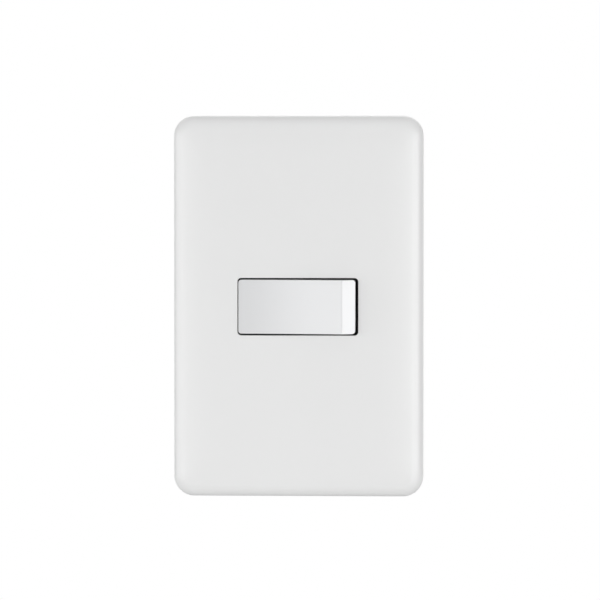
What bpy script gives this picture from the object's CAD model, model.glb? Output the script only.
import math

import bmesh
import bpy
from mathutils import Matrix, Vector


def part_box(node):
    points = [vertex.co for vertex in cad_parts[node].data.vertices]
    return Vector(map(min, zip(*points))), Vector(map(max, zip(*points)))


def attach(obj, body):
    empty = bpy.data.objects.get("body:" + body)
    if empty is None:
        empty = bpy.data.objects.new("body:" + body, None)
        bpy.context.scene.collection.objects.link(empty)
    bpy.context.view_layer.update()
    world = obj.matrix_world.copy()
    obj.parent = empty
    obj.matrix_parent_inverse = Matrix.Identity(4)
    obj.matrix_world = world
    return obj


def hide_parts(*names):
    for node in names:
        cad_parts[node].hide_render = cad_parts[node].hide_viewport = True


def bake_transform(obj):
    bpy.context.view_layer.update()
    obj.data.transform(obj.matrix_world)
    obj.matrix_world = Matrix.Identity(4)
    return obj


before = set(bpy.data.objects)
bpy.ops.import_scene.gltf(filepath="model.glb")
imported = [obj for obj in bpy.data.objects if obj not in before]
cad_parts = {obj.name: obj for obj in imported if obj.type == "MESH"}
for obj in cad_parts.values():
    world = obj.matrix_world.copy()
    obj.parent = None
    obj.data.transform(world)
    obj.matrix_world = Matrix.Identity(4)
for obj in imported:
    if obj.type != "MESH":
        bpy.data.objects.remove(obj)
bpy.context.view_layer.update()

MM = 0.001

# ---------------------------------------------------------------- node helpers

RANGE_SOCKETS = ("From Min", "From Max", "To Min", "To Max")


class Shader:
    """A material's node tree, with short calls for the nodes this scene uses."""

    def __init__(self, name):
        self.material = bpy.data.materials.new(name)
        self.material.use_nodes = True
        self.tree = self.material.node_tree
        self.surface = self.tree.nodes["Principled BSDF"]
        self.place = self.node("ShaderNodeTexCoord").outputs["Object"]

    def node(self, kind, **settings):
        made = self.tree.nodes.new(kind)
        for key, value in settings.items():
            setattr(made, key, value)
        return made

    def link(self, source, target):
        self.tree.links.new(source, target)

    def scaled_place(self, stretch):
        mapping = self.node("ShaderNodeMapping")
        mapping.inputs["Scale"].default_value = stretch
        self.link(self.place, mapping.inputs["Vector"])
        return mapping.outputs["Vector"]

    def noise(self, scale, detail=2.0, roughness=0.5, stretch=None, distortion=0.0):
        made = self.node("ShaderNodeTexNoise")
        made.inputs["Scale"].default_value = scale
        made.inputs["Detail"].default_value = detail
        made.inputs["Roughness"].default_value = roughness
        made.inputs["Distortion"].default_value = distortion
        self.link(self.scaled_place(stretch) if stretch else self.place, made.inputs["Vector"])
        return made.outputs["Fac"]

    def remap(self, source, low, high, to_low, to_high):
        made = self.node("ShaderNodeMapRange")
        for name, value in zip(RANGE_SOCKETS, (low, high, to_low, to_high)):
            made.inputs[name].default_value = value
        self.link(source, made.inputs["Value"])
        return made.outputs["Result"]

    def ramp(self, source, *stops):
        made = self.node("ShaderNodeValToRGB")
        while len(made.color_ramp.elements) < len(stops):
            made.color_ramp.elements.new(0.5)
        for element, (at, colour) in zip(made.color_ramp.elements, stops):
            element.position = at
            element.color = (*colour, 1)
        self.link(source, made.inputs["Fac"])
        return made.outputs["Color"]

    def math(self, operation, a, b):
        made = self.node("ShaderNodeMath", operation=operation)
        for socket, value in zip(made.inputs, (a, b)):
            if isinstance(value, (int, float)):
                socket.default_value = value
            else:
                self.link(value, socket)
        return made.outputs[0]

    def mix(self, share, a, b):
        made = self.node("ShaderNodeMix", data_type="RGBA")
        for socket, value in zip((made.inputs["Factor"], made.inputs[6], made.inputs[7]), (share, a, b)):
            if isinstance(value, (int, float)):
                socket.default_value = value
            elif isinstance(value, tuple):
                socket.default_value = (*value, 1)
            else:
                self.link(value, socket)
        return made.outputs[2]

    def bump(self, height, depth):
        """Relief of the given depth in metres. Each call adds to the one before."""
        made = self.node("ShaderNodeBump")
        made.inputs["Strength"].default_value = 1
        made.inputs["Distance"].default_value = depth
        self.link(height, made.inputs["Height"])
        normal = self.surface.inputs["Normal"]
        if normal.is_linked:
            self.link(normal.links[0].from_socket, made.inputs["Normal"])
        self.link(made.outputs["Normal"], normal)

    def set(self, **values):
        for key, value in values.items():
            self.surface.inputs[key.replace("_", " ")].default_value = value

    def feed(self, **sources):
        for key, source in sources.items():
            self.link(source, self.surface.inputs[key.replace("_", " ")])


GLOSS_SPREAD = 0.012


def moulded_plastic(name, light, dark, rough, peel, grain, grain_scale=5200):
    """Injection-moulded plastic: faint flow shading, uneven gloss, orange peel and a fine mould grain."""
    s = Shader(name)
    flow = s.noise(38, 3, 0.55, stretch=(1, 1, 0.45), distortion=0.6)
    s.feed(Base_Color=s.ramp(flow, (0.3, dark), (0.7, light)))
    s.feed(Roughness=s.remap(s.noise(45, 2, 0.5), 0.3, 0.7, rough - GLOSS_SPREAD, rough + GLOSS_SPREAD))
    s.set(IOR=1.5)
    s.bump(s.noise(420, 1.5), peel)
    s.bump(s.noise(grain_scale, 2, 0.6), grain)
    return s


def rolled_metal(name, bright, dull, rough, grain_axis=(1, 1, 14)):
    """Metal with rolling lines, soft tarnish clouds and a slightly uneven surface."""
    s = Shader(name)
    s.set(Metallic=1.0)
    tarnish = s.noise(170, 4, 0.6, distortion=0.8)
    lines = s.noise(2600, 2, 0.5, stretch=grain_axis)
    clouded = s.ramp(tarnish, (0.35, bright), (0.72, dull))
    s.feed(Base_Color=s.mix(s.remap(lines, 0.35, 0.65, 0, 0.18), clouded, dull))
    s.feed(Roughness=s.math("ADD", s.remap(tarnish, 0.3, 0.75, rough - 0.06, rough + 0.12),
                            s.remap(lines, 0.3, 0.7, -0.03, 0.05)))
    s.bump(lines, 0.004 * MM)
    s.bump(s.noise(700, 3), 0.006 * MM)
    return s


# ---------------------------------------------------------------- materials

plate_white = moulded_plastic(
    "plate_white", (0.80, 0.802, 0.801), (0.793, 0.795, 0.795),
    rough=0.34, peel=0.0006 * MM, grain=0.00025 * MM)
rocker_white = moulded_plastic(
    "rocker_white", (0.712, 0.717, 0.726), (0.706, 0.711, 0.72),
    rough=0.15, peel=0.0004 * MM, grain=0.0001 * MM)
support_grey = moulded_plastic(
    "support_grey", (0.60, 0.61, 0.61), (0.55, 0.56, 0.565),
    rough=0.5, peel=0.004 * MM, grain=0.005 * MM, grain_scale=3400)
module_black = moulded_plastic(
    "module_black", (0.030, 0.031, 0.033), (0.024, 0.025, 0.027),
    rough=0.46, peel=0.004 * MM, grain=0.008 * MM, grain_scale=3000)
plunger_ivory = moulded_plastic(
    "plunger_ivory", (0.78, 0.75, 0.66), (0.72, 0.69, 0.6),
    rough=0.3, peel=0.002 * MM, grain=0.001 * MM)
brass = rolled_metal("brass_strip", (0.83, 0.62, 0.30), (0.55, 0.38, 0.17), 0.27)
steel = rolled_metal("zinc_plated_steel", (0.74, 0.745, 0.75), (0.52, 0.54, 0.58), 0.28, (5, 5, 5))
silver = rolled_metal("contact_silver", (0.93, 0.91, 0.87), (0.72, 0.69, 0.63), 0.18, (2, 2, 2))

NODE_MATERIALS = {
    "support_frame": support_grey,
    "module_housing": module_black, "module_base": module_black, "rocker_carrier": module_black,
    "plunger": plunger_ivory,
    "contact_blade": brass, "common_busbar": brass, "switched_busbar": brass,
    "common_cage": brass, "switched_cage": brass,
    "moving_contact": silver, "fixed_contact": silver,
    "housing_screws": steel,
    "common_clamp_pad": steel, "switched_clamp_pad": steel,
    "common_terminal_screw": steel, "switched_terminal_screw": steel,
}
for node, shader in NODE_MATERIALS.items():
    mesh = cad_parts[node].data
    mesh.materials.clear()
    mesh.materials.append(shader.material)

# Nodes whose sharp CAD edges are broken with a small rounding, and its width in millimetres
EDGE_BREAKS = {
    "support_frame": 0.16, "module_housing": 0.18, "module_base": 0.22, "rocker_carrier": 0.1,
    "housing_screws": 0.1, "common_terminal_screw": 0.12, "switched_terminal_screw": 0.12,
    "common_cage": 0.15, "switched_cage": 0.15, "common_busbar": 0.08, "switched_busbar": 0.08,
    "contact_blade": 0.08, "common_clamp_pad": 0.1, "switched_clamp_pad": 0.1, "fixed_contact": 0.1,
}
for node, width in EDGE_BREAKS.items():
    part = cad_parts[node]
    flat = part.modifiers.new("flat faces", "DECIMATE")
    flat.decimate_type = "DISSOLVE"
    flat.angle_limit = math.radians(0.5)
    rounding = part.modifiers.new("edge break", "BEVEL")
    rounding.width = width * MM
    rounding.segments = 2
    rounding.limit_method = "ANGLE"
    rounding.angle_limit = math.radians(40)
    rounding.harden_normals = True


# ---------------------------------------------------------------- mesh helpers


def rounded_loop(width, height, radius, y, corner_steps=12, long_steps=20, short_steps=14):
    """Points of a rounded rectangle in the plane at depth y, the same count whatever its size."""
    half_w, half_h = width / 2 - radius, height / 2 - radius
    points = []
    for quarter, steps in enumerate((short_steps, long_steps, short_steps, long_steps)):
        sx = 1 if quarter in (0, 3) else -1
        sz = 1 if quarter < 2 else -1
        for i in range(corner_steps + 1):
            a = math.radians(90 * (quarter + i / corner_steps))
            points.append(Vector((sx * half_w + radius * math.cos(a), y, sz * half_h + radius * math.sin(a))))
        ahead = (Vector((-2 * half_w, 0, 0)), Vector((0, 0, -2 * half_h)),
                 Vector((2 * half_w, 0, 0)), Vector((0, 0, 2 * half_h)))[quarter]
        last = points[-1].copy()
        points += [last + ahead * i / steps for i in range(1, steps)]
    return points


def ring_tube(name, loops):
    """Closed solid whose skin runs through a cycle of loops, each with the same number of points."""
    mesh = bmesh.new()
    rows = [[mesh.verts.new(p) for p in loop] for loop in loops]
    for row, following in zip(rows, rows[1:] + rows[:1]):
        for i in range(len(row)):
            j = (i + 1) % len(row)
            mesh.faces.new((row[i], row[j], following[j], following[i]))
    bmesh.ops.recalc_face_normals(mesh, faces=mesh.faces)
    return as_object(name, mesh)


def as_object(name, mesh):
    data = bpy.data.meshes.new(name)
    mesh.to_mesh(data)
    mesh.free()
    made = bpy.data.objects.new(name, data)
    bpy.context.scene.collection.objects.link(made)
    return made


def soft_block(name, low, high, rounding, segments=3):
    """Block from one corner to the other with every edge rounded."""
    mesh = bmesh.new()
    bmesh.ops.create_cube(mesh, size=1)
    size, centre = Vector(high) - Vector(low), (Vector(high) + Vector(low)) / 2
    for v in mesh.verts:
        v.co = Vector(c * s for c, s in zip(v.co, size)) + centre
    bmesh.ops.bevel(mesh, geom=mesh.edges[:], offset=rounding, segments=segments, profile=0.5, affect="EDGES")
    return as_object(name, mesh)


def disc(name, radius, centre, y_low, y_high, segments=32):
    """Round cutter standing along Y."""
    mesh = bmesh.new()
    turn = Matrix.Rotation(math.radians(90), 4, "X")
    place = Matrix.Translation((centre[0], (y_low + y_high) / 2, centre[1]))
    bmesh.ops.create_cone(mesh, cap_ends=True, segments=segments, radius1=radius, radius2=radius,
                          depth=y_high - y_low, matrix=place @ turn)
    return as_object(name, mesh)


def combine(target, others, operation):
    """Adds the other solids to the target, or cuts them out of it, and removes them."""
    for other in others:
        step = target.modifiers.new(operation, "BOOLEAN")
        step.operation = operation
        step.solver = "EXACT"
        step.object = other
    bpy.context.view_layer.update()
    evaluated = target.evaluated_get(bpy.context.evaluated_depsgraph_get())
    result = bpy.data.meshes.new_from_object(evaluated)
    target.modifiers.clear()
    target.data = result
    for other in others:
        bpy.data.objects.remove(other)


def finish_piece(piece, shader, body, slot, *nodes):
    """Gives the piece its material and even shading, and puts it on its body in place of the CAD nodes."""
    piece.data.materials.clear()
    piece.data.materials.append(shader.material)
    for polygon in piece.data.polygons:
        polygon.material_index = 0
    piece.data.shade_smooth()
    piece.data.set_sharp_from_angle(angle=math.radians(32))
    even = piece.modifiers.new("even shading", "WEIGHTED_NORMAL")
    even.keep_sharp = True
    even.weight = 100
    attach(piece, body)
    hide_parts(*nodes)


# ---------------------------------------------------------------- face plate

plate_low, plate_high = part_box("face_plate")
PLATE_W = plate_high.x - plate_low.x
PLATE_H = plate_high.z - plate_low.z
FRONT_Y = plate_low.y
CORNER_R = 6.3 * MM
WALL = 2.0 * MM
SKIN = 1.6 * MM
WINDOW_W, WINDOW_H, WINDOW_R = 37.4 * MM, 17.8 * MM, 1.2 * MM
WINDOW_EDGE_R = 0.08 * MM
EDGE_R = 4.4 * MM
QUARTER_TURN = math.radians(90)
CROWN_W = 10.5 * MM
CROWN_TILT = math.radians(9)
COLLAR_W, COLLAR_H = 39.8 * MM, 20.4 * MM
INNER_Y = FRONT_Y + SKIN
WINDOW_BACK_R = 0.12 * MM
RIM_R = 0.25 * MM
LIP_PLAY, LIP_WALL = 0.2 * MM, 1.2 * MM
LIP_CORNER_R, LIP_EDGE_R = 0.8 * MM, 0.25 * MM
LIP_Y = -4.0 * MM
LIP_ROOT = 0.5 * MM
# How deep a rib or prong is sunk into the skin, so that they join
ROOT = 0.4 * MM
RIB_X, RIB_W, RIB_H, RIB_L, RIB_EDGE_R = 30.5 * MM, 1 * MM, 2.2 * MM, 100 * MM, 0.15 * MM
PRONG_X, PRONG_Z = 27 * MM, 30 * MM
PRONG_W, PRONG_L, PRONG_END_Y, PRONG_EDGE_R = 1.6 * MM, 6 * MM, -0.6 * MM, 0.3 * MM
NOTCH_W, NOTCH_Y, NOTCH_REACH, NOTCH_EDGE_R = 10 * MM, -1.4 * MM, 3 * MM, 0.3 * MM
EJECTOR_R, EJECTOR_DEPTH, EJECTOR_X = 1.6 * MM, 0.12 * MM, 24 * MM
EJECTOR_Z = (-46 * MM, -16 * MM, 16 * MM, 46 * MM)


def plate_loop(inset, y, radius=None):
    """Outline of the plate, moved inwards by the inset."""
    return rounded_loop(PLATE_W - 2 * inset, PLATE_H - 2 * inset, radius or CORNER_R - inset, y)


def arc(count, start, stop):
    """Evenly spaced values from start to stop, both included."""
    return [start + (stop - start) * i / count for i in range(count + 1)]


def rounded_edge(radius, tilt):
    """How far a rounded edge stands in from its two faces, where it is tilted that much."""
    return radius * (1 - math.sin(tilt)), radius * (1 - math.cos(tilt))


def plate_front():
    """From the side wall, over the rounded edge and the gently crowned border, to the window's edge."""
    crown_r = CROWN_W / math.sin(CROWN_TILT)
    crown_rise = crown_r * (1 - math.cos(CROWN_TILT))
    loops = []
    for tilt in arc(14, QUARTER_TURN, CROWN_TILT):
        inset = EDGE_R * (1 - math.sin(tilt))
        y = FRONT_Y + crown_rise + EDGE_R * (math.cos(CROWN_TILT) - math.cos(tilt))
        loops.append(plate_loop(inset, y))
    edge_inset = EDGE_R * (1 - math.sin(CROWN_TILT))
    corner = CORNER_R - edge_inset
    for tilt in arc(12, CROWN_TILT, 0)[1:]:
        inset = edge_inset + CROWN_W - crown_r * math.sin(tilt)
        y = FRONT_Y + crown_r * (1 - math.cos(tilt))
        loops.append(plate_loop(inset, y, corner + 0.6 * (inset - edge_inset)))
    face = loops[-1]
    window = window_loop(WINDOW_EDGE_R, FRONT_Y)
    steps = 7
    loops += [[a.lerp(b, i / steps) for a, b in zip(face, window)] for i in range(1, steps)]
    return loops


def window_loop(margin, y):
    """Outline of the window, moved outwards by the margin."""
    return rounded_loop(WINDOW_W + 2 * margin, WINDOW_H + 2 * margin, WINDOW_R + margin, y)


def plate_window():
    """Rounded front edge of the window, its wall, and its broken rear edge."""
    loops = []
    for tilt in arc(5, 0, QUARTER_TURN):
        margin, depth = rounded_edge(WINDOW_EDGE_R, tilt)
        loops.append(window_loop(margin, FRONT_Y + depth))
    for tilt in arc(2, QUARTER_TURN, 0):
        margin, depth = rounded_edge(WINDOW_BACK_R, tilt)
        loops.append(window_loop(margin, INNER_Y - depth))
    return loops


def plate_inside():
    """Rear of the skin, the inner corner, the inner wall, the rim and the outer wall."""
    inner_r = EDGE_R - WALL
    face = plate_loop(WALL + inner_r, INNER_Y)
    window = window_loop(WINDOW_BACK_R, INNER_Y)
    steps = 6
    loops = [[a.lerp(b, i / steps) for a, b in zip(window, face)] for i in range(1, steps)]
    for tilt in arc(6, 0, QUARTER_TURN):
        margin, depth = rounded_edge(inner_r, tilt)
        loops.append(plate_loop(WALL + margin, INNER_Y + depth))
    for tilt in arc(3, QUARTER_TURN, 0):
        margin, depth = rounded_edge(RIM_R, tilt)
        loops.append(plate_loop(WALL - margin, -depth))
    for tilt in arc(3, 0, QUARTER_TURN):
        margin, depth = rounded_edge(RIM_R, tilt)
        loops.append(plate_loop(margin, -depth))
    return loops


def plate_lip():
    """Collar behind the window, which locates the plate on the switch module."""
    inner, outer = LIP_PLAY, LIP_PLAY + LIP_WALL
    edge = LIP_EDGE_R
    root = INNER_Y - LIP_ROOT

    def loop(margin, y):
        return rounded_loop(COLLAR_W + 2 * margin, COLLAR_H + 2 * margin, LIP_CORNER_R + margin / 2, y,
                            corner_steps=6, long_steps=4, short_steps=4)

    return ring_tube("lip", [loop(inner, root), loop(inner, LIP_Y - edge), loop(inner + edge, LIP_Y),
                             loop(outer - edge, LIP_Y), loop(outer, LIP_Y - edge), loop(outer, root)])


plate = ring_tube("plate_moulding", plate_front() + plate_window() + plate_inside())
added = [plate_lip()]
for sx in (-1, 1):
    x = sx * RIB_X
    added.append(soft_block("rib", (x - RIB_W / 2, INNER_Y - ROOT, -RIB_L / 2),
                            (x + RIB_W / 2, INNER_Y + RIB_H, RIB_L / 2), RIB_EDGE_R, 2))
    for sz in (-1, 1):
        x, z = sx * PRONG_X, sz * PRONG_Z
        added.append(soft_block("prong", (x - PRONG_W / 2, INNER_Y - ROOT, z - PRONG_L / 2),
                                (x + PRONG_W / 2, PRONG_END_Y, z + PRONG_L / 2), PRONG_EDGE_R))
combine(plate, added, "UNION")
cuts = [soft_block("notch", (-NOTCH_W / 2, NOTCH_Y, plate_low.z - NOTCH_REACH),
                   (NOTCH_W / 2, 2 * MM, plate_low.z + NOTCH_REACH), NOTCH_EDGE_R)]
for sx in (-1, 1):
    for z in EJECTOR_Z:
        cuts.append(disc("ejector", EJECTOR_R, (sx * EJECTOR_X, z), INNER_Y - EJECTOR_DEPTH, INNER_Y + ROOT))
combine(plate, cuts, "DIFFERENCE")
finish_piece(plate, plate_white, "plate", "plate_plastic", "face_plate")

# ---------------------------------------------------------------- rocker

PIVOT_Y = -5.1 * MM
TILT = math.radians(5.5)
ROCKER_HALF = 18.3 * MM
ROCKER_H = 16.7 * MM
LEFT_HALF = 18.0 * MM
LEFT_RISE, END_RISE, SKIRT_RISE = 5.4 * MM, 4.2 * MM, 1.5 * MM
BEVEL_X, BEVEL_TOP = 14.6 * MM, 6.96 * MM
DISH_R = 170 * MM
SKIRT_DRAFT = 0.2 * MM
CAP_WALL = 1.5 * MM
HOLLOW_FRONT_Y, HOLLOW_BACK_Y, HOLLOW_EDGE_R = -3.6 * MM, 1 * MM, 0.2 * MM
CAP_CORNER_R, CAP_EDGE_R, RIDGE_R = 0.9 * MM, 0.14 * MM, 0.3 * MM


def dish_points(count):
    """The face's shallow dish, from the left end to the top of the bevel."""
    a, b = Vector((-LEFT_HALF, LEFT_RISE)), Vector((BEVEL_X, BEVEL_TOP))
    along = b - a
    across = Vector((-along.y, along.x)).normalized()
    sag = DISH_R - math.sqrt(DISH_R ** 2 - (along.length / 2) ** 2)
    return [a + along * t - across * sag * (1 - (2 * t - 1) ** 2) for t in arc(count, 0, 1)]


def rocker_outline():
    """Seen from below: the left end, the dished face, the bevel and the right end."""
    return ([Vector((-LEFT_HALF + SKIRT_DRAFT, SKIRT_RISE))] + dish_points(16)
            + [Vector((ROCKER_HALF, END_RISE)), Vector((ROCKER_HALF - SKIRT_DRAFT, SKIRT_RISE))])


def rocker_button():
    """Solid cap in the rocker's own frame, with its ridge, corners and front edges rounded."""
    outline = rocker_outline()
    mesh = bmesh.new()
    sides = [[mesh.verts.new((p.x, -p.y, z)) for p in outline] for z in (-ROCKER_H / 2, ROCKER_H / 2)]
    count = len(outline)
    for i in range(count):
        j = (i + 1) % count
        mesh.faces.new((sides[0][i], sides[0][j], sides[1][j], sides[1][i]))
    mesh.faces.new(sides[0])
    mesh.faces.new(sides[1])
    bmesh.ops.recalc_face_normals(mesh, faces=mesh.faces)

    def edges(keep):
        return [e for e in mesh.edges if keep(*(v.co for v in e.verts))]

    ridge = edges(lambda a, b: max(abs(a.x - BEVEL_X), abs(b.x - BEVEL_X)) < 1e-6 and abs(a.z - b.z) > 1 * MM)
    bmesh.ops.bevel(mesh, geom=ridge, offset=RIDGE_R, segments=5, profile=0.5, affect="EDGES")
    uprights = edges(lambda a, b: abs(a.z - b.z) < 1e-6 and min(abs(a.x), abs(b.x)) > LEFT_HALF - 0.3 * MM
                     and abs(a.y - b.y) > 1 * MM)
    bmesh.ops.bevel(mesh, geom=uprights, offset=CAP_CORNER_R, segments=6, profile=0.5, affect="EDGES")
    top = [e for e in mesh.edges if len(e.link_faces) == 2 and e.calc_face_angle(0) > math.radians(60)
           and all(-v.co.y > END_RISE - 0.05 * MM for v in e.verts)]
    bmesh.ops.bevel(mesh, geom=top, offset=CAP_EDGE_R, segments=4, profile=0.5, affect="EDGES")
    return as_object("rocker_button", mesh)


rocker = rocker_button()
hollow = soft_block("hollow", (-ROCKER_HALF + CAP_WALL, HOLLOW_FRONT_Y, -ROCKER_H / 2 + CAP_WALL),
                    (ROCKER_HALF - CAP_WALL, HOLLOW_BACK_Y, ROCKER_H / 2 - CAP_WALL), HOLLOW_EDGE_R, 2)
combine(rocker, [hollow], "DIFFERENCE")
ROCKER_AT_REST = Matrix.Translation((0, PIVOT_Y, 0)) @ Matrix.Rotation(-TILT, 4, "Z")
rocker.data.transform(ROCKER_AT_REST)
finish_piece(rocker, rocker_white, "rocker", "rocker_plastic", "rocker_cap")

# ---------------------------------------------------------------- plunger spring

COIL_TURNS, COIL_R, WIRE_R = 6.5, 1.62 * MM, 0.22 * MM
COIL_LOW, COIL_HIGH = 0.02 * MM, 6.48 * MM
CLOSED_PITCH = 0.47 * MM
# Where along the coil it stops following the rocker, and where it starts to follow the plunger
OPEN_PITCH = (COIL_HIGH - COIL_LOW - 2 * WIRE_R - 2 * CLOSED_PITCH) / (COIL_TURNS - 2)


def coil_point(turn):
    """Middle of the wire after that many turns. The first and last turns lie close together."""
    opened = min(max(turn - 1, 0), COIL_TURNS - 2)
    a = 2 * math.pi * turn
    y = COIL_LOW + WIRE_R + CLOSED_PITCH * (turn - opened) + OPEN_PITCH * opened
    return Vector((COIL_R * math.cos(a), y, COIL_R * math.sin(a)))


def coil_spring(steps=32, sides=12):
    """Round wire wound about the plunger's axis, cut square at both ends."""
    mesh = bmesh.new()
    rings = []
    for i in range(round(COIL_TURNS * steps) + 1):
        turn = i / steps
        centre = coil_point(turn)
        along = (coil_point(turn + 0.01) - coil_point(turn - 0.01)).normalized()
        out = Vector((centre.x, 0, centre.z)).normalized()
        side = along.cross(out)
        rings.append([mesh.verts.new(centre + WIRE_R * (math.cos(a) * out + math.sin(a) * side))
                      for a in (2 * math.pi * k / sides for k in range(sides))])
    for ring, following in zip(rings, rings[1:]):
        for k in range(sides):
            j = (k + 1) % sides
            mesh.faces.new((ring[k], ring[j], following[j], following[k]))
    mesh.faces.new(rings[0])
    mesh.faces.new(rings[-1])
    bmesh.ops.recalc_face_normals(mesh, faces=mesh.faces)
    return as_object("plunger_coil", mesh)


coil = coil_spring()
coil.data.transform(ROCKER_AT_REST)
coil.data.materials.append(steel.material)
coil.data.shade_smooth()
coil.data.set_sharp_from_angle(angle=math.radians(50))
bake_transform(coil)
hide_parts("plunger_spring")

# ---------------------------------------------------------------- stage and camera

FLOOR_DROP = 0.3
FLOOR_R = 1.2
mesh = bmesh.new()
bmesh.ops.create_circle(mesh, cap_ends=True, segments=96, radius=FLOOR_R,
                        matrix=Matrix.Translation((0, 0, -FLOOR_DROP)))
floor = as_object("floor", mesh)
pale = Shader("pale_floor")
pale.feed(Base_Color=pale.ramp(pale.noise(6, 3), (0.3, (0.84, 0.84, 0.835)), (0.7, (0.87, 0.87, 0.865))))
pale.feed(Roughness=pale.remap(pale.noise(40, 3), 0.3, 0.7, 0.6, 0.75))
floor.data.materials.append(pale.material)


def toward(azimuth, elevation):
    """Unit vector from the object in that direction: azimuth 0 is the front, and 90 the right."""
    a, e = math.radians(azimuth), math.radians(elevation)
    return Vector((math.sin(a) * math.cos(e), -math.cos(a) * math.cos(e), math.sin(e)))


VIEW_W = 186.1 * MM
CAMERA_DISTANCE = 1.3
CAMERA_FROM = toward(3, 2.1)
AIM = Vector((0.44 * MM, -4 * MM, 1.92 * MM))
camera = bpy.data.objects.new("camera", bpy.data.cameras.new("camera"))
camera.location = AIM + CAMERA_FROM * CAMERA_DISTANCE
camera.rotation_mode = "QUATERNION"
camera.rotation_quaternion = CAMERA_FROM.to_track_quat("Z", "Y")
camera.data.lens = camera.data.sensor_width * CAMERA_DISTANCE / VIEW_W
camera.data.clip_start, camera.data.clip_end = 0.05, 20
bpy.context.scene.collection.objects.link(camera)
bpy.context.scene.camera = camera

# ---------------------------------------------------------------- light, all of it from the world

# How much lower than wide the studio lights are
LIGHT_SQUASH = 2.2
# Each light's azimuth, core and reach in degrees, and its radiance
LIGHTS = ((-37.5, 12, 28, 3.85), (-80, 6, 40, 2.7), (33, 13, 25, 5.65), (68.5, 9, 19, 7.6))
# The room's own level in front of the part, as a share of that behind it, and the ceiling's and floor's gain
FRONT_LEVEL, HEIGHT_GAIN = 0.135, 4.6

world = bpy.data.worlds.new("studio")
world.use_nodes = True
bpy.context.scene.world = world
tree = world.node_tree
direction = tree.nodes.new("ShaderNodeTexCoord").outputs["Generated"]
split = tree.nodes.new("ShaderNodeSeparateXYZ")
tree.links.new(direction, split.inputs[0])


def world_fade(source, low, high, at_low, at_high):
    """Number that changes smoothly between two values as the source goes from low to high."""
    fade = tree.nodes.new("ShaderNodeMapRange")
    fade.interpolation_type = "SMOOTHSTEP"
    for name, value in zip(RANGE_SOCKETS, (low, high, at_low, at_high)):
        fade.inputs[name].default_value = value
    tree.links.new(source, fade.inputs["Value"])
    return fade.outputs["Result"]


def world_math(operation, a, b=None):
    made = tree.nodes.new("ShaderNodeMath")
    made.operation = operation
    for socket, source in zip(made.inputs, (a, b)):
        if source is not None:
            tree.links.new(source, socket)
    return made.outputs[0]


stretched = tree.nodes.new("ShaderNodeVectorMath")
stretched.operation = "MULTIPLY"
stretched.inputs[1].default_value = (1, 1, LIGHT_SQUASH)
tree.links.new(direction, stretched.inputs[0])
squashed = tree.nodes.new("ShaderNodeVectorMath")
squashed.operation = "NORMALIZE"
tree.links.new(stretched.outputs[0], squashed.inputs[0])


def world_light(azimuth, core, reach, radiance):
    """Oval soft light far away at that azimuth: full within core degrees of its middle, gone at reach."""
    facing = tree.nodes.new("ShaderNodeVectorMath")
    facing.operation = "DOT_PRODUCT"
    facing.inputs[1].default_value = toward(azimuth, -1)
    tree.links.new(squashed.outputs[0], facing.inputs[0])
    edge, full = (math.cos(math.radians(a)) for a in (reach, core))
    return world_fade(facing.outputs["Value"], edge, full, 0, radiance)


height = world_math("ABSOLUTE", split.outputs["Z"])
room = world_math("MULTIPLY", world_fade(height, 0.28, 0.65, 1, HEIGHT_GAIN),
                  world_fade(split.outputs["Y"], 0.65, 0.97, FRONT_LEVEL, 1))
for light in LIGHTS:
    room = world_math("ADD", room, world_light(*light))

# The camera itself sees plain white all round
seen = world_fade(tree.nodes.new("ShaderNodeLightPath").outputs["Is Camera Ray"], 0, 1, 0, 1)
backdrop = tree.nodes.new("ShaderNodeBackground")
show = tree.nodes.new("ShaderNodeMixShader")
tree.links.new(room, tree.nodes["Background"].inputs["Strength"])
tree.links.new(seen, show.inputs[0])
tree.links.new(tree.nodes["Background"].outputs[0], show.inputs[1])
tree.links.new(backdrop.outputs[0], show.inputs[2])
tree.links.new(show.outputs[0], tree.nodes["World Output"].inputs["Surface"])
for lit in (tree.nodes["Background"], backdrop):
    lit.inputs["Color"].default_value = (1, 1, 1, 1)

bpy.context.scene.view_settings.view_transform = "Standard"
bpy.context.scene.view_settings.look = "None"
